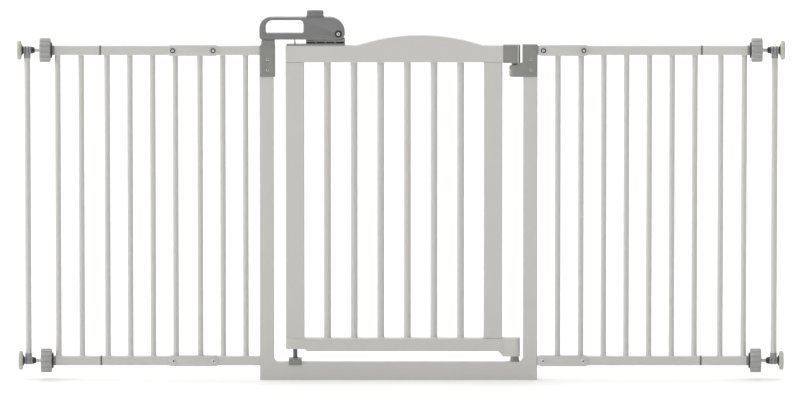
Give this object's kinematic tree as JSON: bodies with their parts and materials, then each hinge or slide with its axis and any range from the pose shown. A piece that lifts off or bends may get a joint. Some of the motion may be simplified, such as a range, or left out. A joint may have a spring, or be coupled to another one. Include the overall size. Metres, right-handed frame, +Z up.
{
  "type": "safety baby gate",
  "caption": "Pressure-mounted walk-through child safety gate: white tube frame, swinging barred door with arched top rail, grey lift handle, tension wheels and wall pads.",
  "frame": {"origin": "on the floor, midway between the wall pads and midway through the gate's depth", "axes": "+X from the latch side to the hinge side, along the gate's width; +Y from the front to the back; +Z up"},
  "size_m": [1.595, 0.0496, 0.7747],
  "materials": {
    "white_paint": "satin powder coat",
    "white_plastic": "moulded, fine grain",
    "grey_plastic": "moulded, fine grain",
    "handle_grey": "moulded, satin",
    "dark_plastic": "moulded, matt",
    "black_plastic": "moulded, matt",
    "wheel_grey": "moulded, satin",
    "pad_rubber": "soft matt",
    "zinc_steel": "bright zinc plate",
    "spring_steel": "drawn wire"
  },
  "bodies": {
    "frame": {"left_post": "white_paint", "right_post": "white_paint", "threshold_bar": "white_paint", "main_rails": "white_paint", "main_bars": "white_paint", "left_extension_rails": "white_paint", "left_extension_bars": "white_paint", "right_extension_rails": "white_paint", "right_extension_bars": "white_paint", "end_rails": "white_paint", "end_bars": "white_paint", "rail_joiners": "dark_plastic", "joint_plates": "white_paint", "joint_screws": "zinc_steel", "rail_end_plugs": "black_plastic", "latch_catch_bracket": "grey_plastic", "hinge_bracket": "grey_plastic", "bracket_screws": "zinc_steel", "latch_saddle": "grey_plastic", "lower_hinge_socket": "grey_plastic", "lower_hinge_pin": "zinc_steel"},
    "left_top_wheel": {"left_top_wheel": "wheel_grey", "left_top_nut": "zinc_steel"},
    "left_bottom_wheel": {"left_bottom_wheel": "wheel_grey", "left_bottom_nut": "zinc_steel"},
    "right_top_wheel": {"right_top_wheel": "wheel_grey", "right_top_nut": "zinc_steel"},
    "right_bottom_wheel": {"right_bottom_wheel": "wheel_grey", "right_bottom_nut": "zinc_steel"},
    "left_wall_set": {"left_adjuster_bolts": "zinc_steel", "left_pad_stems": "black_plastic", "left_rod_clips": "grey_plastic", "left_gap_rod": "white_paint", "left_wall_pads": "pad_rubber"},
    "right_wall_set": {"right_adjuster_bolts": "zinc_steel", "right_pad_stems": "black_plastic", "right_rod_clips": "grey_plastic", "right_gap_rod": "white_paint", "right_wall_pads": "pad_rubber"},
    "door": {"door_top_rail": "white_paint", "door_left_stile": "white_paint", "door_right_stile": "white_paint", "door_bottom_rail": "white_paint", "door_bars": "white_paint", "latch_foot": "white_plastic", "upper_hinge_block": "grey_plastic", "upper_hinge_pin": "zinc_steel", "lower_hinge_block": "white_plastic", "handle_base": "dark_plastic", "handle_base_screws": "zinc_steel", "spring_seat": "white_plastic"},
    "handle": {"handle_shell": "handle_grey", "latch_tongue": "zinc_steel", "handle_pins": "zinc_steel", "pivot_washers": "dark_plastic", "button_spring": "spring_steel"},
    "button": {"release_button": "handle_grey"},
    "latch_rod": {"pull_rod": "zinc_steel", "latch_pin": "dark_plastic", "latch_spring": "spring_steel"}
  },
  "joints": [
    {"name": "door_swing", "type": "hinge", "parent": "frame", "child": "door", "pos_m": [0.2368, 0, 0], "axis": [0, 0, 1], "range_deg": [-90, 90]},
    {"name": "handle_lift", "type": "hinge", "parent": "door", "child": "handle", "pos_m": [-0.1301, 0, 0.7255], "axis": [0, 1, 0], "range_deg": [0, 10]},
    {"name": "latch_rod_lift", "type": "slide", "parent": "door", "child": "latch_rod", "axis": [0, 0, 1], "range_m": [0, 0.016], "deforming": ["latch_spring"]},
    {"name": "button_press", "type": "slide", "parent": "handle", "child": "button", "axis": [0, 0, -1], "range_m": [0, 0.005], "stiffness_N_per_m": 300, "springref_m": -0.002, "deforming": ["button_spring"]},
    {"name": "left_top_wheel_turn", "type": "hinge", "parent": "frame", "child": "left_top_wheel", "pos_m": [-0.7393, 0, 0.6905], "axis": [1, 0, 0], "range_deg": [-1440, 2160]},
    {"name": "left_bottom_wheel_turn", "type": "hinge", "parent": "frame", "child": "left_bottom_wheel", "pos_m": [-0.7393, 0, 0.04], "axis": [1, 0, 0], "range_deg": [-1441, 2161]},
    {"name": "left_wall_set_slide", "type": "slide", "parent": "frame", "child": "left_wall_set", "axis": [-1, 0, 0], "range_m": [-0.008, 0.012]},
    {"name": "right_top_wheel_turn", "type": "hinge", "parent": "frame", "child": "right_top_wheel", "pos_m": [0.7393, 0, 0.6905], "axis": [-1, 0, 0], "range_deg": [-1440, 2160]},
    {"name": "right_bottom_wheel_turn", "type": "hinge", "parent": "frame", "child": "right_bottom_wheel", "pos_m": [0.7393, 0, 0.04], "axis": [-1, 0, 0], "range_deg": [-1441, 2161]},
    {"name": "right_wall_set_slide", "type": "slide", "parent": "frame", "child": "right_wall_set", "axis": [1, 0, 0], "range_m": [-0.008, 0.012]}
  ],
  "couplings": [
    {"joint": "latch_rod_lift", "follows": "handle_lift", "m_per_rad": 0.0904},
    {"joint": "left_top_wheel_turn", "follows": "left_wall_set_slide", "rad_per_m": 3141.6},
    {"joint": "left_bottom_wheel_turn", "follows": "left_wall_set_slide", "rad_per_m": 3141.6},
    {"joint": "right_top_wheel_turn", "follows": "right_wall_set_slide", "rad_per_m": 3141.6},
    {"joint": "right_bottom_wheel_turn", "follows": "right_wall_set_slide", "rad_per_m": 3141.6}
  ]
}
